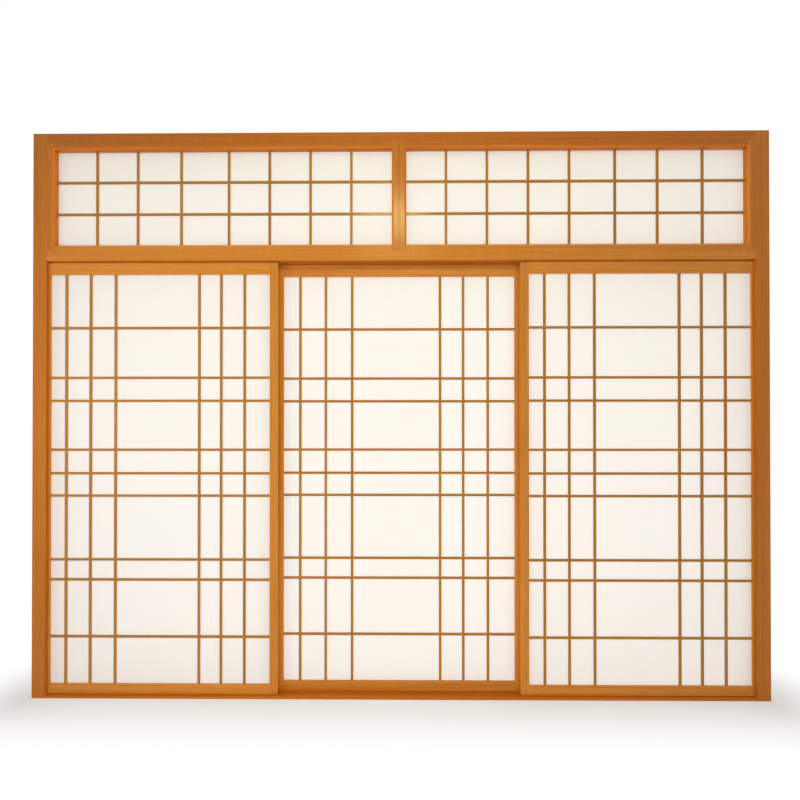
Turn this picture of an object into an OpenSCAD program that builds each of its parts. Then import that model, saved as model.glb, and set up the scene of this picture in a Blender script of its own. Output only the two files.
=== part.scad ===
// Sliding paper screen with three leaves on two tracks and a papered transom, in its own timber frame.
// X runs along the screen, Y from front to back and Z up, with the origin under the middle of the sill.

/* [Opening] */
// Overall width over both posts
frame_w = 3142; // [2600:2:3600]
// Clear height from the sill up to the lintel
door_h = 1860; // [1700:10:2100]
// Height of the transom from the lintel up to the head
transom_h = 469.5; // [380:0.5:600]

/* [Frame] */
// Depth of the posts, sill, lintel and head from front to back
frame_d = 90; // [84:1:120]
// Face width of each post
post_w = 57; // [50:1:90]
// Thickness of the sill
sill_t = 12; // [10:1:40]
// Height of the lintel
lintel_h = 41; // [36:1:60]
// Height of the head
head_h = 37; // [30:1:60]
// Depth of the channel in each post that takes the edge of a leaf
channel_d = 27; // [12:1:30]
// Clearance in front of and behind the leaves in that channel
channel_clearance = 1.5; // [0.5:0.5:2.5]
// Gap between the edge of a shut leaf and the floor of the channel
channel_gap = 1; // [0.5:0.5:3]
// Length of the stub tenons on the sill, lintel and head
frame_tenon_l = 16; // [10:1:24]
// Shoulder above and below those tenons
frame_tenon_shoulder = 3; // [2:0.5:4]
// Shoulder in front of and behind those tenons
frame_tenon_cheek = 14; // [8:1:24]

/* [Fixings] */
// Diameter of the screw holes through each post
fixing_dia = 6; // [4:0.5:8]
// Diameter of the counterbores for the screw heads
fixing_head_dia = 13; // [10:0.5:16]
// Depth of the counterbores
fixing_head_d = 6; // [3:0.5:9]
// Spacing of the holes from front to back
fixing_spacing_y = 36; // [24:1:44]
// Spacing of the holes up the post
fixing_spacing_z = 1200; // [600:10:1500]

/* [Tracks] */
// Width of the grooves that the leaves and the transom panels stand in
groove_w = 21; // [18:0.5:24]
// Depth of the grooves under the lintel
lintel_groove_d = 18; // [16:0.5:22]
// Depth of the grooves in the sill
sill_groove_d = 3; // [2:0.5:5]
// Clearance on each side of a tongue in its groove
tongue_clearance = 1; // [0.5:0.1:2]
// Height of a leaf's top tongue inside the lintel
tongue_engage = 10; // [6:0.5:11]
// Gap over a leaf's top shoulder, which lets it be lifted out of the sill
lift_gap = 4; // [3.5:0.5:8]
// Gap under a leaf's bottom shoulder
shoulder_gap = 1; // [0.5:0.1:2]
// Gap under a leaf's bottom tongue
glide_gap = 0.3; // [0.1:0.1:0.5]

/* [Leaves] */
// Thickness of a leaf
leaf_t = 30; // [28:1:34]
// Gap between a leaf on the front track and one on the rear track
leaf_gap = 3; // [2:0.5:5]
// Face width of the stiles of a leaf
stile_w = 35; // [28:1:48]
// Face height of the top rail of a leaf
top_rail_h = 50.5; // [35:0.5:80]
// Face height of the bottom rail of a leaf
bottom_rail_h = 42.5; // [30:0.5:120]
// Clear width between the two side leaves when they are shut
middle_w = 1042; // [900:2:1200]
// How far each stile of the middle leaf laps behind a side leaf
lap_w = 17.5; // [8:0.5:24]

/* [Lattice] */
// Face width of the upright bars
upright_w = 11; // [8:0.5:16]
// Face width of the crossbars
crossbar_w = 10.5; // [7:0.5:14]
// Depth of the bars from front to back
bar_d = 5; // [4.5:0.5:12]
// Distance from the front of a leaf back to its bars
bar_setback = 2; // [0.5:0.5:8]

/* [Joinery] */
// Length of the tenons on the rails
rail_tenon_l = 20; // [12:1:24]
// Thickness of the tenons on the rails
rail_tenon_t = 10; // [8:1:12]
// Shoulder above and below the tenons on the rails
rail_tenon_shoulder = 10; // [9:0.5:12]
// Length of the stub tenons on the bars
bar_tenon_l = 6; // [4:0.5:9]
// Shoulder all round the stub tenons on the bars
bar_tenon_shoulder = 1.5; // [1:0.1:1.8]
// Fit of the tenons in their mortises and of the half laps
joint_fit = 0.1; // [0.05:0.05:0.2]

/* [Paper] */
// Thickness of the paper
paper_t = 0.6; // [0.4:0.1:1]
// Lap of the paper's rebate over the stiles and rails
paper_lap = 8; // [5:0.5:8.5]
// Gap between the paper's edge and the end of its rebate
paper_gap = 1; // [0.5:0.5:2]

/* [Transom] */
// Thickness of a transom panel
transom_t = 36; // [32:1:44]
// Face width of the stiles of a transom panel
transom_stile_w = 31; // [28:1:48]
// Face height of the rails of a transom panel
transom_rail_h = 28; // [26:0.5:48]
// Distance from the front of a transom panel back to its bars
transom_bar_setback = 25; // [12:0.5:26]
// Distance from the front of the frame back to the transom panels
transom_setback = 0; // [0:0.5:6]
// Width of the chamfer around the front of each transom panel's opening
transom_chamfer = 7; // [3:0.5:8]
// Gap beside, between and above the transom panels
transom_gap = 0.3; // [0.2:0.1:2]
// Depth of the groove in the lintel under the transom panels
transom_sill_groove_d = 5; // [3:0.5:6]
// Depth of the groove in the head over the transom panels
transom_head_groove_d = 8; // [6:0.5:12]
// Gap between a transom panel's tongue and the floor of its groove
transom_tongue_gap = 0.5; // [0.3:0.1:1]

/* [Hidden] */

// Colours of the frame, the leaves, the thin bars and the paper
frame_colour = [0.74, 0.45, 0.18];
leaf_colour = [0.78, 0.49, 0.20];
bar_colour = [0.80, 0.56, 0.28];
paper_colour = [0.99, 0.96, 0.92];

// Overshoot of a cut past the face that it opens, and smoothness of the round holes
cut = 1;
$fn = 48;

// Shares of a leaf's width from left to right and of its height from the top down
leaf_columns = [0.65, 1.01, 1.04, 3.47, 0.91, 0.97, 1.05];
leaf_rows = [2.32, 2.16, 1, 2.12, 1.02, 0.97, 2.76, 0.87, 2.46, 2.03];
// Shares of each transom panel's width and height
left_transom_columns = [0.97, 1, 1.07, 1.17, 1, 1, 1, 0.99];
right_transom_columns = [0.97, 1, 1, 1, 1.11, 1.03, 1.09, 1];
transom_rows = [0.96, 1, 1.02];

// Heights of the frame's members
lintel_z = sill_t + door_h;
transom_z = lintel_z + lintel_h;
head_z = transom_z + transom_h;
frame_h = head_z + head_h;

// Faces of the posts and of the channels in them
outer_x = frame_w / 2;
inner_x = outer_x - post_w;
channel_x = inner_x + channel_d;
channel_w = 2 * leaf_t + leaf_gap + 2 * channel_clearance;

// Front faces of the leaves on the two tracks and of the transom panels
front_y = -leaf_gap / 2 - leaf_t;
rear_y = leaf_gap / 2;
transom_y = transom_setback - frame_d / 2;

// Height of the leaves between their shoulders, and their tongues
leaf_low_z = sill_t + shoulder_gap;
leaf_high_z = lintel_z - lift_gap;
leaf_tongue_top = lift_gap + tongue_engage;
leaf_tongue_bottom = shoulder_gap + sill_groove_d - glide_gap;

// Edges of the leaves when they are shut
shut_x = channel_x - channel_gap;
meeting_x = middle_w / 2;
middle_edge_x = meeting_x + lap_w;

// A panel is its four edges, its front, its frame's face sizes, its lattice, its chamfer, its tongues,
// and its depths, which are its thickness and the setback of its bars
function panel_left(p) = p[0][0];
function panel_right(p) = p[0][1];
function panel_low(p) = p[0][2];
function panel_high(p) = p[0][3];
function panel_front(p) = p[1];
function panel_stile_w(p) = p[2][0];
function panel_top_h(p) = p[2][1];
function panel_bottom_h(p) = p[2][2];
function panel_columns(p) = p[3][0];
function panel_rows(p) = p[3][1];
function panel_chamfer(p) = p[4];
function panel_tongue_top(p) = p[5][0];
function panel_tongue_bottom(p) = p[5][1];
function panel_t(p) = p[6][0];
function panel_setback(p) = p[6][1];

// Faces that follow from a panel's own sizes
function panel_back(p) = panel_front(p) + panel_t(p);
function panel_mid(p) = panel_front(p) + panel_t(p) / 2;
function open_left(p) = panel_left(p) + panel_stile_w(p);
function open_right(p) = panel_right(p) - panel_stile_w(p);
function open_low(p) = panel_low(p) + panel_bottom_h(p);
function open_high(p) = panel_high(p) - panel_top_h(p);
function bar_front(p) = panel_front(p) + panel_setback(p);
function bar_back(p) = bar_front(p) + bar_d;

// Place of a lattice bar, from the shares of the cells before it
function share_sum(shares, n) = n == 0 ? 0 : shares[n - 1] + share_sum(shares, n - 1);
function share_at(shares, n) = share_sum(shares, n) / share_sum(shares, len(shares));
function open_w(p) = open_right(p) - open_left(p);
function open_h(p) = open_high(p) - open_low(p);
function upright_x(p, n) = open_left(p) + open_w(p) * share_at(panel_columns(p), n);
function crossbar_z(p, n) = open_high(p) - open_h(p) * share_at(panel_rows(p), n);
function upright_numbers(p) = [for (n = [1 : len(panel_columns(p)) - 1]) n];
function crossbar_numbers(p) = [for (n = [1 : len(panel_rows(p)) - 1]) n];

// The uprights left of the widest column, and those right of it
function wide_column(p) = search(max(panel_columns(p)), panel_columns(p))[0];
function left_numbers(p) = [for (n = upright_numbers(p)) if (n <= wide_column(p)) n];
function right_numbers(p) = [for (n = upright_numbers(p)) if (n > wide_column(p)) n];

leaf_faces = [stile_w, top_rail_h, bottom_rail_h];
leaf_lattice = [leaf_columns, leaf_rows];
leaf_tongues = [leaf_tongue_top, leaf_tongue_bottom];
leaf_depths = [leaf_t, bar_setback];
function leaf(left, right, front) = [[left, right, leaf_low_z, leaf_high_z], front, leaf_faces, leaf_lattice,
                                     0, leaf_tongues, leaf_depths];
left_leaf = leaf(-shut_x, -meeting_x, front_y);
middle_leaf = leaf(-middle_edge_x, middle_edge_x, rear_y);
right_leaf = leaf(meeting_x, shut_x, front_y);

transom_faces = [transom_stile_w, transom_rail_h, transom_rail_h];
transom_tongues = [transom_gap + transom_head_groove_d - transom_tongue_gap,
                   transom_sill_groove_d - transom_tongue_gap];
transom_high_z = head_z - transom_gap;
transom_outer_x = inner_x - transom_gap;
transom_inner_x = transom_gap / 2;
transom_depths = [transom_t, transom_bar_setback];
function transom(left, right, columns) = [[left, right, transom_z, transom_high_z], transom_y, transom_faces,
                                          [columns, transom_rows], transom_chamfer, transom_tongues,
                                          transom_depths];
left_transom = transom(-transom_outer_x, -transom_inner_x, left_transom_columns);
right_transom = transom(transom_inner_x, transom_outer_x, right_transom_columns);

// A block between two corners
module block(low, high) {
    translate(low)
        cube(high - low);
}

// A groove along X between the posts, centred on y, open at the face that its z range passes
module frame_groove(y, z_low, z_high) {
    block([-inner_x - cut, y - groove_w / 2, z_low], [inner_x + cut, y + groove_w / 2, z_high]);
}

// The stub tenon of a crosswise frame member at the right post, or its mortise when fit is above zero
module frame_tenon(z_low, z_high, fit) {
    half_y = frame_d / 2 - frame_tenon_cheek + fit;
    block([inner_x - cut, -half_y, z_low + frame_tenon_shoulder - fit],
          [inner_x + frame_tenon_l + fit, half_y, z_high - frame_tenon_shoulder + fit]);
}

// A crosswise frame member with a tenon at each end, less its grooves
module frame_member(z_low, z_high) {
    difference() {
        block([-inner_x, -frame_d / 2, z_low], [inner_x, frame_d / 2, z_high]);
        children();
    }
    for (side = [0, 1])
        mirror([side, 0, 0])
            intersection() {
                frame_tenon(z_low, z_high, 0);
                block([inner_x, -frame_d / 2, z_low], [outer_x, frame_d / 2, z_high]);
            }
}

// A counterbored screw hole from the floor of the channel out through the post
module fixing_hole(y, z) {
    translate([channel_x, y, z])
        rotate([0, 90, 0]) {
            translate([0, 0, -cut])
                cylinder(d = fixing_head_dia, h = fixing_head_d + cut);
            cylinder(d = fixing_dia, h = outer_x - channel_x + cut);
        }
}

// The right post, channelled for the leaves, mortised for the crosswise members and bored for its screws
module post() {
    difference() {
        block([inner_x, -frame_d / 2, 0], [outer_x, frame_d / 2, frame_h]);
        block([inner_x - cut, -channel_w / 2, sill_t], [channel_x, channel_w / 2, lintel_z]);
        frame_tenon(0, sill_t, joint_fit);
        frame_tenon(lintel_z, transom_z, joint_fit);
        frame_tenon(head_z, frame_h, joint_fit);
        for (y = [-1, 1], z = [-1, 1])
            fixing_hole(y * fixing_spacing_y / 2, sill_t + door_h / 2 + z * fixing_spacing_z / 2);
    }
}

// The rebate at the back of a panel that the paper lies in
module paper_rebate(p) {
    block([open_left(p) - paper_lap, bar_back(p), open_low(p) - paper_lap],
          [open_right(p) + paper_lap, panel_back(p) + cut, open_high(p) + paper_lap]);
}

// The flared cut that chamfers a panel's opening at the front, as two crossing wedges
module chamfer_flare(p) {
    deep = panel_chamfer(p);
    far = deep + cut;
    cut_y = panel_front(p) - cut;
    intersection() {
        translate([0, 0, panel_low(p)])
            linear_extrude(panel_high(p) - panel_low(p))
                polygon([[open_left(p) - far, cut_y], [open_right(p) + far, cut_y],
                         [open_right(p), cut_y + far], [open_left(p), cut_y + far]]);
        translate([panel_left(p), 0, 0])
            rotate([90, 0, 90])
                linear_extrude(panel_right(p) - panel_left(p))
                    polygon([[cut_y, open_low(p) - far], [cut_y, open_high(p) + far],
                             [cut_y + far, open_high(p)], [cut_y + far, open_low(p)]]);
    }
}

// Both cuts that run round the opening of a panel
module opening_cuts(p) {
    paper_rebate(p);
    if (panel_chamfer(p) > 0)
        chamfer_flare(p);
}

// The core of a rail between two heights, with a tenon at each end, or its mortises when fit is above zero
module rail_core(p, z_low, z_high, fit) {
    half_t = rail_tenon_t / 2 + fit;
    long = rail_tenon_l + fit;
    block([open_left(p) - long, panel_mid(p) - half_t, z_low + rail_tenon_shoulder - fit],
          [open_right(p) + long, panel_mid(p) + half_t, z_high - rail_tenon_shoulder + fit]);
}

// The core of crossbar n, with a stub tenon at each end, or its mortises when fit is above zero
module crossbar_core(p, n, fit) {
    half_w = crossbar_w / 2 - bar_tenon_shoulder + fit;
    inset = bar_tenon_shoulder - fit;
    long = bar_tenon_l + fit;
    block([open_left(p) - long, bar_front(p) + inset, crossbar_z(p, n) - half_w],
          [open_right(p) + long, bar_back(p) - inset, crossbar_z(p, n) + half_w]);
}

// The core of upright n, with a stub tenon at each end, or its mortises when fit is above zero
module upright_core(p, n, fit) {
    half_w = upright_w / 2 - bar_tenon_shoulder + fit;
    inset = bar_tenon_shoulder - fit;
    long = bar_tenon_l + fit;
    block([upright_x(p, n) - half_w, bar_front(p) + inset, open_low(p) - long],
          [upright_x(p, n) + half_w, bar_back(p) - inset, open_high(p) + long]);
}

// A stile between two X values, mortised for the rails and the crossbars
module stile(p, x_low, x_high) {
    difference() {
        block([x_low, panel_front(p), panel_low(p)], [x_high, panel_back(p), panel_high(p)]);
        opening_cuts(p);
        rail_core(p, panel_low(p), open_low(p), joint_fit);
        rail_core(p, open_high(p), panel_high(p), joint_fit);
        for (n = crossbar_numbers(p))
            crossbar_core(p, n, joint_fit);
    }
}

module left_stile(p) {
    stile(p, panel_left(p), open_left(p));
}

module right_stile(p) {
    stile(p, open_right(p), panel_right(p));
}

// A rail between two heights with a tongue from tongue_low to tongue_high, mortised for the uprights
module rail(p, z_low, z_high, tongue_low, tongue_high) {
    half_tongue = groove_w / 2 - tongue_clearance;
    difference() {
        union() {
            block([open_left(p), panel_front(p), z_low], [open_right(p), panel_back(p), z_high]);
            block([open_left(p), panel_mid(p) - half_tongue, tongue_low],
                  [open_right(p), panel_mid(p) + half_tongue, tongue_high]);
            rail_core(p, z_low, z_high, 0);
        }
        opening_cuts(p);
        for (n = upright_numbers(p))
            upright_core(p, n, joint_fit);
    }
}

module top_rail(p) {
    rail(p, open_high(p), panel_high(p), panel_high(p) - cut, panel_high(p) + panel_tongue_top(p));
}

module bottom_rail(p) {
    rail(p, panel_low(p), open_low(p), panel_low(p) - panel_tongue_bottom(p), panel_low(p) + cut);
}

// The listed uprights, each halved from the front where a crossbar passes
module uprights(p, numbers) {
    lap_y = bar_front(p) + (bar_d + joint_fit) / 2;
    half_notch = crossbar_w / 2 + joint_fit;
    for (n = numbers) {
        x = upright_x(p, n);
        difference() {
            union() {
                block([x - upright_w / 2, bar_front(p), open_low(p)],
                      [x + upright_w / 2, bar_back(p), open_high(p)]);
                upright_core(p, n, 0);
            }
            for (m = crossbar_numbers(p))
                block([x - upright_w / 2 - cut, bar_front(p) - cut, crossbar_z(p, m) - half_notch],
                      [x + upright_w / 2 + cut, lap_y, crossbar_z(p, m) + half_notch]);
        }
    }
}

// The crossbars, each halved from the back where an upright passes
module crossbars(p) {
    lap_y = bar_front(p) + (bar_d - joint_fit) / 2;
    half_notch = upright_w / 2 + joint_fit;
    for (n = crossbar_numbers(p)) {
        z = crossbar_z(p, n);
        difference() {
            union() {
                block([open_left(p), bar_front(p), z - crossbar_w / 2],
                      [open_right(p), bar_back(p), z + crossbar_w / 2]);
                crossbar_core(p, n, 0);
            }
            for (m = upright_numbers(p))
                block([upright_x(p, m) - half_notch, lap_y, z - crossbar_w / 2 - cut],
                      [upright_x(p, m) + half_notch, bar_back(p) + cut, z + crossbar_w / 2 + cut]);
        }
    }
}

// The sheet of paper, glued to the backs of the bars inside the rebate
module paper(p) {
    reach = paper_lap - paper_gap;
    block([open_left(p) - reach, bar_back(p), open_low(p) - reach],
          [open_right(p) + reach, bar_back(p) + paper_t, open_high(p) + reach]);
}

module left_post() { color(frame_colour) mirror([1, 0, 0]) post(); }
module right_post() { color(frame_colour) post(); }

// The sill, with a shallow groove for each track
module sill() {
    color(frame_colour)
        frame_member(0, sill_t)
            for (y = [front_y, rear_y])
                frame_groove(y + leaf_t / 2, sill_t - sill_groove_d, sill_t + cut);
}

// The lintel, with a deep groove for each track below and one for the transom panels above
module lintel() {
    color(frame_colour)
        frame_member(lintel_z, transom_z) {
            for (y = [front_y, rear_y])
                frame_groove(y + leaf_t / 2, lintel_z - cut, lintel_z + lintel_groove_d);
            frame_groove(transom_y + transom_t / 2, transom_z - transom_sill_groove_d, transom_z + cut);
        }
}

// The head, grooved below for the transom panels
module head() {
    color(frame_colour)
        frame_member(head_z, frame_h)
            frame_groove(transom_y + transom_t / 2, head_z - cut, head_z + transom_head_groove_d);
}

module left_transom_left_stile() { color(leaf_colour) left_stile(left_transom); }
module left_transom_right_stile() { color(leaf_colour) right_stile(left_transom); }
module left_transom_top_rail() { color(leaf_colour) top_rail(left_transom); }
module left_transom_bottom_rail() { color(leaf_colour) bottom_rail(left_transom); }
module left_transom_uprights() { color(bar_colour) uprights(left_transom, upright_numbers(left_transom)); }
module left_transom_crossbars() { color(bar_colour) crossbars(left_transom); }
module left_transom_paper() { color(paper_colour) paper(left_transom); }

module right_transom_left_stile() { color(leaf_colour) left_stile(right_transom); }
module right_transom_right_stile() { color(leaf_colour) right_stile(right_transom); }
module right_transom_top_rail() { color(leaf_colour) top_rail(right_transom); }
module right_transom_bottom_rail() { color(leaf_colour) bottom_rail(right_transom); }
module right_transom_uprights() { color(bar_colour) uprights(right_transom, upright_numbers(right_transom)); }
module right_transom_crossbars() { color(bar_colour) crossbars(right_transom); }
module right_transom_paper() { color(paper_colour) paper(right_transom); }

module left_leaf_left_stile() { color(leaf_colour) left_stile(left_leaf); }
module left_leaf_right_stile() { color(leaf_colour) right_stile(left_leaf); }
module left_leaf_top_rail() { color(leaf_colour) top_rail(left_leaf); }
module left_leaf_bottom_rail() { color(leaf_colour) bottom_rail(left_leaf); }
module left_leaf_left_uprights() { color(bar_colour) uprights(left_leaf, left_numbers(left_leaf)); }
module left_leaf_right_uprights() { color(bar_colour) uprights(left_leaf, right_numbers(left_leaf)); }
module left_leaf_crossbars() { color(bar_colour) crossbars(left_leaf); }
module left_leaf_paper() { color(paper_colour) paper(left_leaf); }

module middle_leaf_left_stile() { color(leaf_colour) left_stile(middle_leaf); }
module middle_leaf_right_stile() { color(leaf_colour) right_stile(middle_leaf); }
module middle_leaf_top_rail() { color(leaf_colour) top_rail(middle_leaf); }
module middle_leaf_bottom_rail() { color(leaf_colour) bottom_rail(middle_leaf); }
module middle_leaf_left_uprights() { color(bar_colour) uprights(middle_leaf, left_numbers(middle_leaf)); }
module middle_leaf_right_uprights() { color(bar_colour) uprights(middle_leaf, right_numbers(middle_leaf)); }
module middle_leaf_crossbars() { color(bar_colour) crossbars(middle_leaf); }
module middle_leaf_paper() { color(paper_colour) paper(middle_leaf); }

module right_leaf_left_stile() { color(leaf_colour) left_stile(right_leaf); }
module right_leaf_right_stile() { color(leaf_colour) right_stile(right_leaf); }
module right_leaf_top_rail() { color(leaf_colour) top_rail(right_leaf); }
module right_leaf_bottom_rail() { color(leaf_colour) bottom_rail(right_leaf); }
module right_leaf_left_uprights() { color(bar_colour) uprights(right_leaf, left_numbers(right_leaf)); }
module right_leaf_right_uprights() { color(bar_colour) uprights(right_leaf, right_numbers(right_leaf)); }
module right_leaf_crossbars() { color(bar_colour) crossbars(right_leaf); }
module right_leaf_paper() { color(paper_colour) paper(right_leaf); }

left_post();
right_post();
sill();
lintel();
head();
left_transom_left_stile();
left_transom_right_stile();
left_transom_top_rail();
left_transom_bottom_rail();
left_transom_uprights();
left_transom_crossbars();
left_transom_paper();
right_transom_left_stile();
right_transom_right_stile();
right_transom_top_rail();
right_transom_bottom_rail();
right_transom_uprights();
right_transom_crossbars();
right_transom_paper();
left_leaf_left_stile();
left_leaf_right_stile();
left_leaf_top_rail();
left_leaf_bottom_rail();
left_leaf_left_uprights();
left_leaf_right_uprights();
left_leaf_crossbars();
left_leaf_paper();
middle_leaf_left_stile();
middle_leaf_right_stile();
middle_leaf_top_rail();
middle_leaf_bottom_rail();
middle_leaf_left_uprights();
middle_leaf_right_uprights();
middle_leaf_crossbars();
middle_leaf_paper();
right_leaf_left_stile();
right_leaf_right_stile();
right_leaf_top_rail();
right_leaf_bottom_rail();
right_leaf_left_uprights();
right_leaf_right_uprights();
right_leaf_crossbars();
right_leaf_paper();
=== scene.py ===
"""Shoji sliding screen: dresses its timber frame, transom panels and sliding leaves, in a plain studio."""

import logging
import math
from dataclasses import dataclass, replace
from enum import Enum
from typing import Any, Mapping, Optional, Sequence, Union

import bpy
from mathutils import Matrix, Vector


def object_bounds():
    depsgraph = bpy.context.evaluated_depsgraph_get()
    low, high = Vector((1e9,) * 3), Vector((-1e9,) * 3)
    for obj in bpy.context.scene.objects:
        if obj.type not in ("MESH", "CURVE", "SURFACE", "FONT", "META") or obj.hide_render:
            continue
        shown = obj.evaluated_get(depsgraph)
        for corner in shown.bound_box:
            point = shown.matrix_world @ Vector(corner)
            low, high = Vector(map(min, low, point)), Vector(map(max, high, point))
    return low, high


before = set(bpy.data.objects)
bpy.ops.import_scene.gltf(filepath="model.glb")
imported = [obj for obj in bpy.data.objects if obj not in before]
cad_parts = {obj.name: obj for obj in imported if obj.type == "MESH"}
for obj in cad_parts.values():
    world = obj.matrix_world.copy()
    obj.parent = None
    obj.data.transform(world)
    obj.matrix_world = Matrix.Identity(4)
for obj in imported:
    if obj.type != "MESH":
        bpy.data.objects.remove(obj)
cad_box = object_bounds()

log = logging.getLogger("shoji_screen")

Colour = tuple[float, float, float]
Place = tuple[float, float, float]
Operand = Union["Signal", float]

WHITE: Colour = (1.0, 1.0, 1.0)
NOISE_MEAN = 0.5

# Widest seam that is closed in a wooden piece, in metres
SEAM_GAP = 1e-5
# Faces that meet at less than this are one face
FLAT_ANGLE = math.radians(1.0)
# Edges that turn by more than this are eased
EDGE_ANGLE = math.radians(40.0)
# Facets across an eased edge
EASE_SEGMENTS = 2


class GrainAxis(Enum):
    """The axis along which a member's fibres run."""

    CROSSWISE = "X"
    UPRIGHT = "Z"


class Cut(Enum):
    """How a board was sawn, which turns the flecks on its face."""

    FLAT = "flat"
    QUARTER = "quarter"


class LeafSide(Enum):
    """The three leaves, by their place when the screen is shut."""

    LEFT = "left"
    MIDDLE = "middle"
    RIGHT = "right"


class TransomSide(Enum):
    """The two transom panels."""

    LEFT = "left"
    RIGHT = "right"


class Signal:
    """A number that varies over a surface, as a node's output socket that takes part in expressions."""

    def __init__(self, socket: bpy.types.NodeSocket) -> None:
        """Wraps the output socket that gives the number."""
        self.socket = socket

    def _math(self, operation: str, *operands: Operand) -> "Signal":
        """Adds one Math node.

        Args:
            operation: The Math node's operation.
            operands: Its operands, as signals or plain numbers.

        Returns:
            The node's result.
        """
        tree = self.socket.id_data
        node = tree.nodes.new("ShaderNodeMath")
        node.operation = operation
        for socket, operand in zip(node.inputs, operands):
            if isinstance(operand, Signal):
                tree.links.new(operand.socket, socket)
            else:
                socket.default_value = operand
        return Signal(node.outputs[0])

    def __add__(self, other: Operand) -> "Signal":
        """Returns this number plus another."""
        return self._math("ADD", self, other)

    def __radd__(self, other: Operand) -> "Signal":
        """Returns another number plus this one."""
        return self._math("ADD", other, self)

    def __sub__(self, other: Operand) -> "Signal":
        """Returns this number less another."""
        return self._math("SUBTRACT", self, other)

    def __rsub__(self, other: Operand) -> "Signal":
        """Returns another number less this one."""
        return self._math("SUBTRACT", other, self)

    def __mul__(self, other: Operand) -> "Signal":
        """Returns this number times another."""
        return self._math("MULTIPLY", self, other)

    def __rmul__(self, other: Operand) -> "Signal":
        """Returns another number times this one."""
        return self._math("MULTIPLY", other, self)

    def __truediv__(self, other: Operand) -> "Signal":
        """Returns this number divided by another."""
        return self._math("DIVIDE", self, other)

    def __rtruediv__(self, other: Operand) -> "Signal":
        """Returns another number divided by this one."""
        return self._math("DIVIDE", other, self)

    def __pow__(self, other: Operand) -> "Signal":
        """Returns this number to the power of another."""
        return self._math("POWER", self, other)

    def __rpow__(self, other: Operand) -> "Signal":
        """Returns another number to the power of this one."""
        return self._math("POWER", other, self)

    def __abs__(self) -> "Signal":
        """Returns this number without its sign."""
        return self._math("ABSOLUTE", self)

    def at_least(self, other: Operand) -> "Signal":
        """Returns the larger of this number and another."""
        return self._math("MAXIMUM", self, other)


class Graph:
    """The node tree of a material or of the world, with the one way in which its nodes are made."""

    def __init__(self, tree: bpy.types.NodeTree) -> None:
        """Empties a node tree for use."""
        self.tree = tree
        tree.nodes.clear()

    def node(
        self,
        kind: str,
        settings: Optional[Mapping[str, Any]] = None,
        sockets: Optional[Mapping[str, Any]] = None,
    ) -> bpy.types.Node:
        """Adds one node.

        Args:
            kind: The node's type, without its ShaderNode prefix.
            settings: Its properties, which are set before its sockets.
            sockets: Its inputs by identifier, as signals and sockets to link or as plain values.

        Returns:
            The new node.
        """
        made = self.tree.nodes.new("ShaderNode" + kind)
        for name, value in (settings or {}).items():
            setattr(made, name, value)
        inputs = {socket.identifier: socket for socket in made.inputs}
        for name, value in (sockets or {}).items():
            source = value.socket if isinstance(value, Signal) else value
            if isinstance(source, bpy.types.NodeSocket):
                self.tree.links.new(source, inputs[name])
            else:
                inputs[name].default_value = source
        return made

    def vector(self, x: Operand, y: Operand, z: Operand) -> bpy.types.NodeSocket:
        """Returns three numbers as a vector's socket."""
        return self.node("CombineXYZ", sockets={"X": x, "Y": y, "Z": z}).outputs[0]

    def axes(self) -> tuple[Signal, Signal, Signal]:
        """Reads the place on the object.

        Returns:
            Its X, Y and Z in metres.
        """
        place = self.node("TexCoord").outputs["Object"]
        split = self.node("SeparateXYZ", sockets={"Vector": place})
        return Signal(split.outputs[0]), Signal(split.outputs[1]), Signal(split.outputs[2])

    def chamfers(self, square: float = 0.98, leaning: float = 0.75) -> Signal:
        """Tells faces that lean between the axes from faces that are square to one.

        Args:
            square: Largest part of a face's normal from which the face counts as square.
            leaning: Largest part of a face's normal at which the face counts as a chamfer.

        Returns:
            0 on a square face and 1 on a chamfer.
        """
        facing = self.node("NewGeometry").outputs["True Normal"]
        split = self.node("SeparateXYZ", sockets={"Vector": facing})
        x, y, z = (abs(Signal(socket)) for socket in split.outputs)
        return self.step(x.at_least(y).at_least(z), square, leaning)

    def noise(self, place: bpy.types.NodeSocket, scale: float = 1.0, detail: float = 1.0) -> Signal:
        """Returns noise about 0.5 at a vector, with its cells to a unit and its number of finer layers."""
        ends = {"Vector": place, "Scale": scale, "Detail": detail}
        return Signal(self.node("TexNoise", sockets=ends).outputs[0])

    def step(self, value: Signal, low: float, high: float) -> Signal:
        """Turns a number into a soft mask.

        Args:
            value: The number.
            low: Where the mask leaves 0.
            high: Where it reaches 1.

        Returns:
            The mask.
        """
        ease = {"interpolation_type": "SMOOTHSTEP"}
        ends = {"Value": value, "From Min": low, "From Max": high}
        return Signal(self.node("MapRange", ease, ends).outputs[0])

    def blend(self, factor: Signal, first: Any, second: Any) -> bpy.types.NodeSocket:
        """Returns a mix of two colours, where the factor is the second one's share."""
        ends = {"Factor_Float": factor, "A_Color": first, "B_Color": second}
        return self.node("Mix", {"data_type": "RGBA"}, ends).outputs[2]

    def scaled(self, colour: bpy.types.NodeSocket, factor: Signal) -> bpy.types.NodeSocket:
        """Returns a colour that is made lighter or darker by a factor."""
        ends = {"Vector": colour, "Scale": factor}
        return self.node("VectorMath", {"operation": "SCALE"}, ends).outputs[0]

    def bump(self, height: Signal, strength: float, distance: float) -> bpy.types.NodeSocket:
        """Returns the normal of a relief, where the distance is the metres that a height of 1 stands for."""
        relief = {"Height": height, "Strength": strength, "Distance": distance}
        return self.node("Bump", sockets=relief).outputs[0]

    def output(self, kind: str, shader: bpy.types.Node) -> None:
        """Links the last shader node to an output node of the given type."""
        self.node(kind, sockets={"Surface": shader.outputs[0]})


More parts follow.
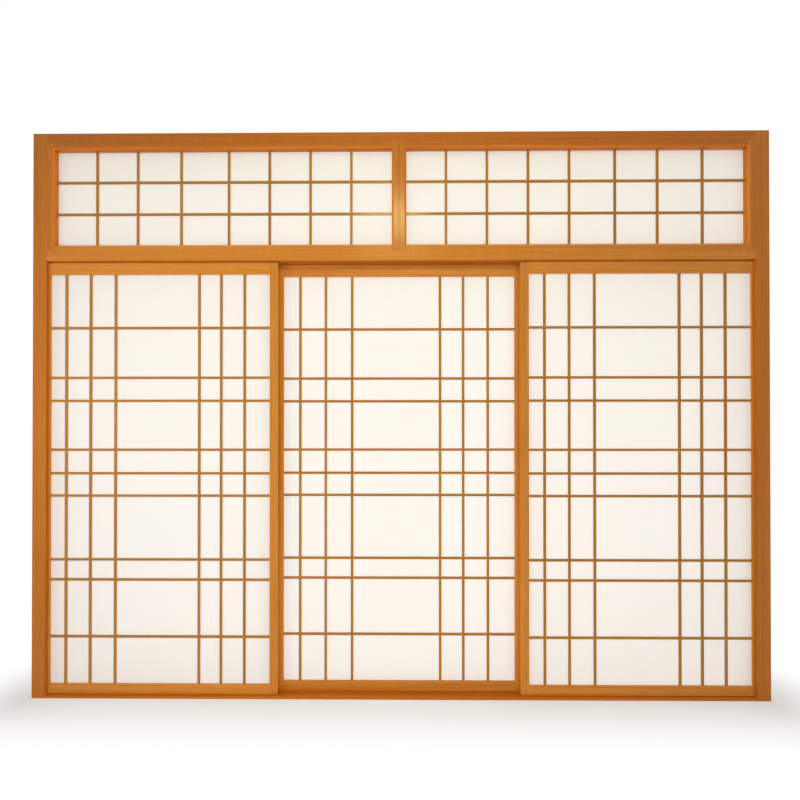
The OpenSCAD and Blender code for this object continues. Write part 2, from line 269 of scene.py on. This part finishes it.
def new_material(name: str) -> tuple[bpy.types.Material, Graph]:
    """Makes an empty material.

    Args:
        name: The material's name.

    Returns:
        The material and its node tree.
    """
    material = bpy.data.materials.new(name)
    material.use_nodes = True
    return material, Graph(material.node_tree)


def opaque(colour: Colour) -> tuple[float, float, float, float]:
    """Returns a linear colour with an alpha of 1."""
    return (*colour, 1.0)


@dataclass(frozen=True)
class GrainLayer:
    """One layer of a wood's figure, as noise that is drawn out along the fibres.

    Attributes:
        gap: Distance between its marks, in metres.
        turns: How often it changes over a metre along the fibres.
        share: How strongly it shows.
        detail: How many finer layers the noise has.
    """

    gap: float
    turns: float
    share: float
    detail: float = 1.0

    def read(self, graph: Graph, across: Signal, depth: Signal, along: Signal) -> Signal:
        """Returns the layer at a place on the wood, as a number about 0."""
        place = graph.vector(across / self.gap, depth / self.gap, along * self.turns)
        return graph.noise(place, detail=self.detail) - NOISE_MEAN


@dataclass(frozen=True)
class GrowthRings:
    """The growth rings of a board, whose late wood shows as thin dark lines.

    Attributes:
        gap: Distance between the rings, in metres.
        slant: How far they move across the board for each metre of depth.
        depth_turns: How often they change over a metre of depth.
        turns: How often they change over a metre along the fibres.
        share: How strongly the late wood shows.
        late: Noise at which the late wood starts and at which it is full.
    """

    gap: float = 0.0032
    slant: float = 0.5
    depth_turns: float = 30.0
    turns: float = 1.4
    share: float = 0.24
    late: tuple[float, float] = (0.44, 0.66)

    def read(self, graph: Graph, across: Signal, depth: Signal, along: Signal) -> Signal:
        """Reads the rings at a place on the wood.

        Args:
            graph: The material's node tree.
            across: The place across the fibres, in metres.
            depth: The place through the board, in metres.
            along: The place along the fibres, in metres.

        Returns:
            A mask that is 1 on the late wood.
        """
        line = (across + depth * self.slant) / self.gap
        place = graph.vector(line, depth * self.depth_turns, along * self.turns)
        return graph.step(graph.noise(place), *self.late)


@dataclass(frozen=True)
class WoodFinish:
    """Straight-grained wood under a satin lacquer.

    Attributes:
        name: Start of the materials' names.
        pale: Colour of the lighter wood.
        deep: Colour of the growth rings and darker streaks.
        cut: How its boards were sawn.
        rings: Its growth rings.
        streaks: Its broad streaks.
        fibres: Its fine fibres.
        flecks: Its short flecks.
        boards: How its lightness changes from place to place.
        sway: How its grain strays from straight, with its share in metres.
        plain_tone: Tone between the rings, from 0 for deep to 1 for pale.
        roughness: Roughness in the mean.
        rough_fibres: How much the fibres change the roughness.
        rough_streaks: How much the streaks change the roughness.
        relief: Strength of the raised grain, and its height in metres.
        gloss: Specular level under the lacquer.
        sheen: Colour of its sheen.
        lacquer: Weight of the lacquer's coat.
        lacquer_roughness: Roughness of that coat.
        chamfer_highlight: Painted highlight on the chamfers and eased edges: how much lighter their colour
            is made.
        ease: Width of the eased edges, in metres.
    """

    name: str
    pale: Colour
    deep: Colour
    cut: Cut = Cut.FLAT
    rings: GrowthRings = GrowthRings()
    streaks: GrainLayer = GrainLayer(gap=0.009, turns=1.1, share=0.7, detail=3.0)
    fibres: GrainLayer = GrainLayer(gap=1.0 / 1500.0, turns=24.0, share=0.35)
    flecks: GrainLayer = GrainLayer(gap=0.005, turns=14.0, share=0.5)
    boards: GrainLayer = GrainLayer(gap=0.125, turns=0.3, share=0.3, detail=0.0)
    sway: GrainLayer = GrainLayer(gap=1.0 / 3.0, turns=1.6, share=0.016)
    plain_tone: float = 0.556
    roughness: float = 0.34
    rough_fibres: float = 0.16
    rough_streaks: float = 0.12
    relief: tuple[float, float] = (0.3, 0.0001)
    gloss: float = 0.15
    sheen: Colour = (1.0, 0.72, 0.3)
    lacquer: float = 0.3
    lacquer_roughness: float = 0.18
    chamfer_highlight: float = 0.25
    ease: float = 0.0004

    def material(self, grain: GrainAxis) -> bpy.types.Material:
        """Returns the material for one direction of the fibres, made at its first use."""
        name = f"{self.name}_{grain.name.lower()}"
        return bpy.data.materials.get(name) or self._make(name, grain)

    def _make(self, name: str, grain: GrainAxis) -> bpy.types.Material:
        """Makes the material.

        Args:
            name: The material's name.
            grain: The axis along which the fibres run.

        Returns:
            The material.
        """
        material, graph = new_material(name)
        x, depth, z = graph.axes()
        along, across = (z, x) if grain is GrainAxis.UPRIGHT else (x, z)
        board = self.boards.read(graph, across, depth, along)
        line = across + self.sway.read(graph, across, depth, along) * self.sway.share
        streak = self.streaks.read(graph, line, depth, along)
        fibre = self.fibres.read(graph, line, depth, along)
        late = self.rings.read(graph, line, depth, along)
        wide, lengthwise = (along, across) if self.cut is Cut.QUARTER else (line, along)
        fleck = self.flecks.read(graph, wide, depth, lengthwise)
        figure = streak * self.streaks.share + fibre * self.fibres.share + fleck * self.flecks.share
        tone = self.plain_tone + figure - late * self.rings.share
        colour = graph.blend(graph.step(tone, 0.0, 1.0), opaque(self.deep), opaque(self.pale))
        # Boards differ in tone at random; the chamfers and eased edges are made lighter as a painted
        # highlight, standing in for the light they catch.
        lightness = 1.0 + board * self.boards.share + graph.chamfers() * self.chamfer_highlight
        satin = {
            "Base Color": graph.scaled(colour, lightness),
            "Roughness": self.roughness + fibre * self.rough_fibres + streak * self.rough_streaks,
            "Normal": graph.bump(late + fibre, *self.relief),
            "Specular IOR Level": self.gloss,
            "Specular Tint": opaque(self.sheen),
            "Coat Weight": self.lacquer,
            "Coat Roughness": self.lacquer_roughness,
        }
        graph.output("OutputMaterial", graph.node("BsdfPrincipled", sockets=satin))
        return material


@dataclass(frozen=True)
class PaperFibres:
    """A set of wandering fibres in paper, as the lines at which a noise passes its mean.

    Attributes:
        scale: Turns of the fibres to a metre.
        width: Width of a fibre, in the noise's own measure.
        detail: How many finer turns the fibres have.
    """

    scale: float
    width: float
    detail: float = 2.0

    def read(self, graph: Graph, place: bpy.types.NodeSocket) -> Signal:
        """Returns a mask that is 1 on the fibres."""
        off_line = abs(graph.noise(place, self.scale, self.detail) - NOISE_MEAN)
        return 1.0 - graph.step(off_line, 0.0, self.width)


@dataclass(frozen=True)
class PaperFinish:
    """Handmade screen paper that lets part of the light through.

    Attributes:
        name: The material's name.
        pale: Colour of the paper.
        deep: Colour of its denser clouds and fibres.
        through: Colour of the light that passes through.
        passing: Share of the light that passes through where it is thin.
        dense: How much less passes through its clouds and fibres.
        glue: Gap between the paper and the bars, in metres.
        long_fibres: Its longer fibres.
        short_fibres: Its shorter fibres.
        lean: How the shorter fibres are turned against the longer ones, as parts along and across.
        shift: How far the shorter fibres' noise is moved from the longer ones'.
        clouds: Clouds to a metre, and how many finer layers they have.
        tooth: Grains of its surface to a metre, and how many finer layers they have.
        plain_shade: Shade where it has no fibre, from 0 for pale to 1 for deep.
        cloud_shade: How strongly the clouds show in the colour.
        fibre_shade: How strongly the fibres show in the colour.
        relief_parts: Parts of the fibres, the tooth and the clouds in its relief.
        relief: Strength of the relief, and its height in metres.
        roughness: Roughness in the mean.
        rough_tooth: How much the tooth changes the roughness.
        smooth_fibres: How much smoother the fibres are.
        gloss: Specular level.
    """

    name: str
    pale: Colour
    deep: Colour
    through: Colour
    passing: float = 0.69
    dense: float = 0.04
    glue: float = 0.00005
    long_fibres: PaperFibres = PaperFibres(scale=42.0, width=0.016)
    short_fibres: PaperFibres = PaperFibres(scale=65.0, width=0.02)
    lean: tuple[float, float] = (0.7, 0.4)
    shift: float = 3.0
    clouds: tuple[float, float] = (14.0, 4.0)
    tooth: tuple[float, float] = (900.0, 2.0)
    plain_shade: float = 0.3
    cloud_shade: float = 0.9
    fibre_shade: float = 0.16
    relief_parts: tuple[float, float, float] = (0.45, 0.3, 0.25)
    relief: tuple[float, float] = (0.25, 0.0003)
    roughness: float = 0.84
    rough_tooth: float = 0.16
    smooth_fibres: float = 0.06
    gloss: float = 0.2

    def material(self) -> bpy.types.Material:
        """Returns the material, made at its first use."""
        return bpy.data.materials.get(self.name) or self._make()

    def _make(self) -> bpy.types.Material:
        """Makes the material.

        Returns:
            The material.
        """
        material, graph = new_material(self.name)
        x, y, z = graph.axes()
        along, across = self.lean
        sheet = graph.vector(x, y, z)
        leaning = graph.vector(x * along + z * across, y + self.shift, z * along - x * across)
        fibre = self.long_fibres.read(graph, sheet).at_least(self.short_fibres.read(graph, leaning))
        cloud = graph.noise(sheet, *self.clouds) - NOISE_MEAN
        tooth = graph.noise(sheet, *self.tooth) - NOISE_MEAN
        shade = cloud * self.cloud_shade + fibre * self.fibre_shade + self.plain_shade
        density = graph.step(shade, 0.0, 1.0)
        fibre_part, tooth_part, cloud_part = self.relief_parts
        height = fibre * fibre_part + tooth * tooth_part + cloud * cloud_part
        relief = graph.bump(height, *self.relief)
        matt = {
            "Base Color": graph.blend(density, opaque(self.pale), opaque(self.deep)),
            "Roughness": self.roughness + tooth * self.rough_tooth - fibre * self.smooth_fibres,
            "Normal": relief,
            "Specular IOR Level": self.gloss,
        }
        front = graph.node("BsdfPrincipled", sockets=matt)
        glow = graph.node("BsdfTranslucent", sockets={"Color": opaque(self.through), "Normal": relief})
        passing = self.passing - density * self.dense
        layers = {"Fac": passing, "Shader": front.outputs[0], "Shader_001": glow.outputs[0]}
        graph.output("OutputMaterial", graph.node("MixShader", sockets=layers))
        return material


def paint(node: bpy.types.Object, material: bpy.types.Material) -> None:
    """Gives a node its one material.

    Args:
        node: The node.
        material: Its material.
    """
    slots = node.data.materials
    slots.clear()
    slots.append(material)


def dress_wood(names: Sequence[str], finish: WoodFinish, grain: GrainAxis) -> int:
    """Eases the edges of wooden nodes and gives them their finish.

    Args:
        names: The nodes' names.
        finish: Their wood.
        grain: The axis along which their fibres run.

    Returns:
        How many nodes were dressed.
    """
    for name in names:
        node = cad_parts[name]
        weld = node.modifiers.new("closed_seams", "WELD")
        weld.merge_threshold = SEAM_GAP
        faces = node.modifiers.new("whole_faces", "DECIMATE")
        faces.decimate_type = "DISSOLVE"
        faces.angle_limit = FLAT_ANGLE
        ease = node.modifiers.new("eased_edges", "BEVEL")
        ease.width = finish.ease
        ease.segments = EASE_SEGMENTS
        ease.limit_method = "ANGLE"
        ease.angle_limit = EDGE_ANGLE
        paint(node, finish.material(grain))
    return len(names)


def dress_paper(names: Sequence[str], finish: PaperFinish) -> int:
    """Draws sheets back from the bars by the glue between them and gives them their finish.

    Args:
        names: The sheets' nodes.
        finish: Their paper.

    Returns:
        How many nodes were dressed.
    """
    for name in names:
        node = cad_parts[name]
        gap = node.modifiers.new("glue_gap", "DISPLACE")
        gap.mid_level = 0.0
        gap.strength = -finish.glue
        paint(node, finish.material())
    return len(names)


@dataclass
class TimberFrame:
    """The posts, sill, lintel and head.

    Attributes:
        shaded_post_wood: Wood of the posts, darker and redder as painted shade.
        shaded_head_wood: Wood of the sill and the head, darker and redder as painted shade.
        lit_lintel_wood: Wood of the lintel, lighter and yellower as painted light.
    """

    shaded_post_wood: WoodFinish
    shaded_head_wood: WoodFinish
    lit_lintel_wood: WoodFinish

    def dress(self) -> int:
        """Gives each member its wood.

        Returns:
            How many nodes were dressed.
        """
        dressed = dress_wood(["left_post", "right_post"], self.shaded_post_wood, GrainAxis.UPRIGHT)
        dressed += dress_wood(["sill", "head"], self.shaded_head_wood, GrainAxis.CROSSWISE)
        dressed += dress_wood(["lintel"], self.lit_lintel_wood, GrainAxis.CROSSWISE)
        return dressed


@dataclass
class PaperedPanel:
    """A panel of stiles, rails, lattice bars and paper.

    Attributes:
        name: Start of its nodes' names.
        stile_wood: Wood of the stiles.
        top_wood: Wood of the top rail.
        bottom_wood: Wood of the bottom rail.
        bar_wood: Wood of the lattice.
        paper: Finish of the paper.
        upright_groups: Ends of the names of the nodes that hold its upright bars.
    """

    name: str
    stile_wood: WoodFinish
    top_wood: WoodFinish
    bottom_wood: WoodFinish
    bar_wood: WoodFinish
    paper: PaperFinish
    upright_groups: tuple[str, ...] = ("uprights",)

    def nodes(self, *ends: str) -> list[str]:
        """Returns the full names of nodes of the panel, from the ends of their names."""
        return [f"{self.name}_{end}" for end in ends]

    def dress(self) -> int:
        """Gives each piece its finish.

        Returns:
            How many nodes were dressed.
        """
        dressed = dress_wood(self.nodes("left_stile", "right_stile"), self.stile_wood, GrainAxis.UPRIGHT)
        dressed += dress_wood(self.nodes("top_rail"), self.top_wood, GrainAxis.CROSSWISE)
        dressed += dress_wood(self.nodes("bottom_rail"), self.bottom_wood, GrainAxis.CROSSWISE)
        dressed += dress_wood(self.nodes(*self.upright_groups), self.bar_wood, GrainAxis.UPRIGHT)
        dressed += dress_wood(self.nodes("crossbars"), self.bar_wood, GrainAxis.CROSSWISE)
        dressed += dress_paper(self.nodes("paper"), self.paper)
        return dressed


@dataclass(frozen=True)
class Softbox:
    """A soft rectangular lamp.

    Attributes:
        name: Its name.
        place: Where it hangs, in metres.
        aim: The point that it faces.
        size: Its width and height.
        power: Its power in watts.
        tint: Colour of its light.
        shines: Whether it shows in reflections.
        spread: Angle of its beam, in degrees.
    """

    name: str
    place: Place
    aim: Place
    size: tuple[float, float]
    power: float
    tint: Colour = WHITE
    shines: bool = True
    spread: float = 180.0

    def build(self) -> bpy.types.Object:
        """Hangs the lamp.

        Returns:
            The lamp.
        """
        light = bpy.data.lights.new(self.name, "AREA")
        light.shape = "RECTANGLE"
        light.size, light.size_y = self.size
        light.energy = self.power
        light.color = self.tint
        light.spread = math.radians(self.spread)
        lamp = bpy.data.objects.new(self.name, light)
        bpy.context.scene.collection.objects.link(lamp)
        lamp.location = self.place
        lamp.rotation_euler = (Vector(self.aim) - Vector(self.place)).to_track_quat("-Z", "Y").to_euler()
        lamp.visible_camera = False
        lamp.visible_glossy = self.shines
        return lamp


@dataclass
class Studio:
    """The pale floor, the white surroundings and the soft lamps.

    Attributes:
        lamps: The lamps.
        ambient: Strength of the light from all round.
        floor_half: Half the width of the floor, in metres.
        floor_colour: Colour of the floor.
        floor_roughness: Roughness of the floor.
        veil: Share of plain white in the floor at the foot of the screen.
        fade: Distances from the screen between which the floor turns into plain white, in metres.
    """

    lamps: tuple[Softbox, ...]
    ambient: float = 0.35
    floor_half: float = 30.0
    floor_colour: Colour = (0.94, 0.94, 0.94)
    floor_roughness: float = 0.9
    veil: float = 0.4
    fade: tuple[float, float] = (0.0, 0.35)

    def build(self) -> int:
        """Sets up the floor, the surroundings, the lamps and the plain view transform.

        Returns:
            How many lamps there are.
        """
        self._surround()
        self._floor()
        for lamp in self.lamps:
            lamp.build()
        bpy.context.scene.view_settings.view_transform = "Standard"
        return len(self.lamps)

    def _seen(self, graph: Graph) -> Signal:
        """Tells the rays that show the background.

        Args:
            graph: The node tree that uses them.

        Returns:
            1 for a ray of the camera, a reflection or a clear view, 0 for a ray of light.
        """
        path = graph.node("LightPath").outputs
        seen = Signal(path["Is Camera Ray"]).at_least(Signal(path["Is Glossy Ray"]))
        return seen.at_least(Signal(path["Is Transmission Ray"]))

    def _surround(self) -> None:
        """Makes the surroundings white to the eye and gives them the ambient light."""
        world = bpy.data.worlds.new("studio")
        world.use_nodes = True
        graph = Graph(world.node_tree)
        strength = self.ambient + self._seen(graph) * (1.0 - self.ambient)
        light = {"Color": opaque(WHITE), "Strength": strength}
        graph.output("OutputWorld", graph.node("Background", sockets=light))
        bpy.context.scene.world = world

    def _floor(self) -> None:
        """Lays the floor under the screen."""
        half = self.floor_half
        corners = [(-half, -half, 0.0), (half, -half, 0.0), (half, half, 0.0), (-half, half, 0.0)]
        mesh = bpy.data.meshes.new("studio_floor")
        mesh.from_pydata(corners, [], [(0, 1, 2, 3)])
        mesh.materials.append(self._floor_material())
        floor = bpy.data.objects.new("studio_floor", mesh)
        bpy.context.scene.collection.objects.link(floor)
        floor.location.z = cad_box[0].z

    def _floor_material(self) -> bpy.types.Material:
        """Makes the floor's material, which keeps the shadow near the screen and fades to white further off.

        Returns:
            The material.
        """
        material, graph = new_material("pale_floor")
        x, y, _ = graph.axes()
        past_x = (abs(x) - cad_box[1].x).at_least(0.0)
        past_y = (abs(y) - cad_box[1].y).at_least(0.0)
        away = (past_x * past_x + past_y * past_y) ** 0.5
        matt = {
            "Base Color": opaque(self.floor_colour),
            "Roughness": self.floor_roughness,
            "Specular IOR Level": 0.0,
        }
        plain = graph.node("BsdfPrincipled", sockets=matt)
        white = graph.node("Emission", sockets={"Color": opaque(WHITE), "Strength": 1.0})
        share = (self.veil + graph.step(away, *self.fade) * (1.0 - self.veil)) * self._seen(graph)
        layers = {"Fac": share, "Shader": plain.outputs[0], "Shader_001": white.outputs[0]}
        graph.output("OutputMaterial", graph.node("MixShader", sockets=layers))
        return material


@dataclass(frozen=True)
class Viewpoint:
    """The photograph's camera, almost level and almost square to the screen.

    Attributes:
        aside: How far it stands right of the screen's middle, in metres.
        ahead: How far it stands in front of the frame, in metres.
        eye_height: Its height above the floor, in metres.
        turn: Its turn to the left, in radians.
        rise: Its tilt upwards, in radians.
        focal: Its focal length, in pixels of the photograph.
        middle: Pixel of the photograph that it points at.
        pixels: Width and height of the photograph, in pixels.
        sensor: Width of the sensor, in millimetres.
        nearest: Distance from which it sees, in metres.
    """

    aside: float = -0.0284
    ahead: float = 1.964
    eye_height: float = 1.1218
    turn: float = 0.0075
    rise: float = 0.0046
    focal: float = 461.0
    middle: tuple[float, float] = (389.0, 433.6)
    pixels: float = 800.0
    sensor: float = 36.0
    nearest: float = 0.05

    def build(self) -> bpy.types.Object:
        """Sets up the camera.

        Returns:
            The camera.
        """
        data = bpy.data.cameras.new("photo_camera")
        data.sensor_width = self.sensor
        data.lens = self.focal * self.sensor / self.pixels
        data.shift_x = 0.5 - self.middle[0] / self.pixels
        data.shift_y = self.middle[1] / self.pixels - 0.5
        data.clip_start = self.nearest
        camera = bpy.data.objects.new("photo_camera", data)
        bpy.context.scene.collection.objects.link(camera)
        camera.location = (self.aside, cad_box[0].y - self.ahead, cad_box[0].z + self.eye_height)
        camera.rotation_euler = (math.radians(90.0) + self.rise, 0.0, self.turn)
        bpy.context.scene.camera = camera
        return camera


# The frame is one wood in lit and shaded copies. Painted shade: the posts, the head, the sill and the
# transom's stiles and top rails are darker and redder where less light falls.
SHADED_POST_WOOD = WoodFinish("shaded_post_wood", pale=(0.71, 0.228, 0.020), deep=(0.51, 0.140, 0.008), ease=0.0003)
SHADED_HEAD_WOOD = WoodFinish(
    "shaded_head_wood", pale=(0.70, 0.210, 0.014), deep=(0.50, 0.126, 0.006), cut=Cut.QUARTER, ease=0.0003
)
# Painted light: the lintel and the transom's bottom rails are lighter and yellower where the most light
# falls.
LIT_LINTEL_WOOD = WoodFinish(
    "lit_lintel_wood", pale=(0.81, 0.302, 0.041), deep=(0.60, 0.191, 0.016), cut=Cut.QUARTER, ease=0.0003
)
LEAF_WOOD = WoodFinish("leaf_wood", pale=(0.84, 0.325, 0.050), deep=(0.61, 0.205, 0.020))
BAR_WOOD = WoodFinish(
    "bar_wood",
    pale=(0.58, 0.251, 0.042),
    deep=(0.42, 0.165, 0.020),
    rings=GrowthRings(gap=0.0022),
    streaks=replace(WoodFinish.streaks, gap=0.006),
    ease=0.0003,
)
PAPER = PaperFinish(
    "screen_paper", pale=(0.945, 0.925, 0.905), deep=(0.925, 0.898, 0.862), through=(0.940, 0.918, 0.894)
)

LEAF_UPRIGHTS = ("left_uprights", "right_uprights")

LAMPS = (
    Softbox("key_lamp", (-0.3, -1.9, 1.9), aim=(-0.2, 0.0, 1.0), size=(2.2, 0.5), power=4.0, shines=False),
    Softbox("fill_lamp", (-0.1, -1.9, 0.25), aim=(-0.1, 0.0, 1.2), size=(2.2, 0.4), power=7.5, shines=False),
    Softbox(
        "side_lamp",
        (-2.2, -1.3, 1.3),
        aim=(0.0, 0.0, 1.1),
        size=(0.4, 1.2),
        power=4.6,
        shines=False,
        spread=120.0,
    ),
    Softbox(
        "sheen_lamp",
        (-0.03, -2.0, 2.98),
        aim=(-0.03, 0.0, 2.05),
        size=(0.5, 0.25),
        power=13.0,
        tint=(0.95, 0.92, 0.36),
    ),
    Softbox("top_lamp", (0.0, 0.3, 4.4), aim=(0.0, 0.301, 0.0), size=(4.5, 1.0), power=15.0),
    Softbox("back_lamp", (1.0, 2.6, 0.9), aim=(0.9, 0.0, 0.95), size=(3.6, 1.6), power=34.0),
)


def main() -> None:
    """Builds the scene piece by piece and reports each."""
    logging.basicConfig(level=logging.INFO, format="%(message)s")
    log.info("timber frame: %d nodes", TimberFrame(SHADED_POST_WOOD, SHADED_HEAD_WOOD, LIT_LINTEL_WOOD).dress())
    for side in TransomSide:
        # The transom's stiles and top rail take the darker shaded copies and its bottom rail the lighter lit
        # copy, as painted shade and painted light.
        panel = PaperedPanel(f"{side.value}_transom", SHADED_POST_WOOD, SHADED_HEAD_WOOD, LIT_LINTEL_WOOD, BAR_WOOD, PAPER)
        log.info("%s: %d nodes", panel.name, panel.dress())
    for side in LeafSide:
        woods = (LEAF_WOOD, LEAF_WOOD, LEAF_WOOD, BAR_WOOD)
        leaf = PaperedPanel(f"{side.value}_leaf", *woods, PAPER, LEAF_UPRIGHTS)
        log.info("%s: %d nodes", leaf.name, leaf.dress())
    log.info("studio: %d lamps", Studio(LAMPS).build())
    log.info("camera: lens %.2f mm", Viewpoint().build().data.lens)


if __name__ == "__main__":
    main()
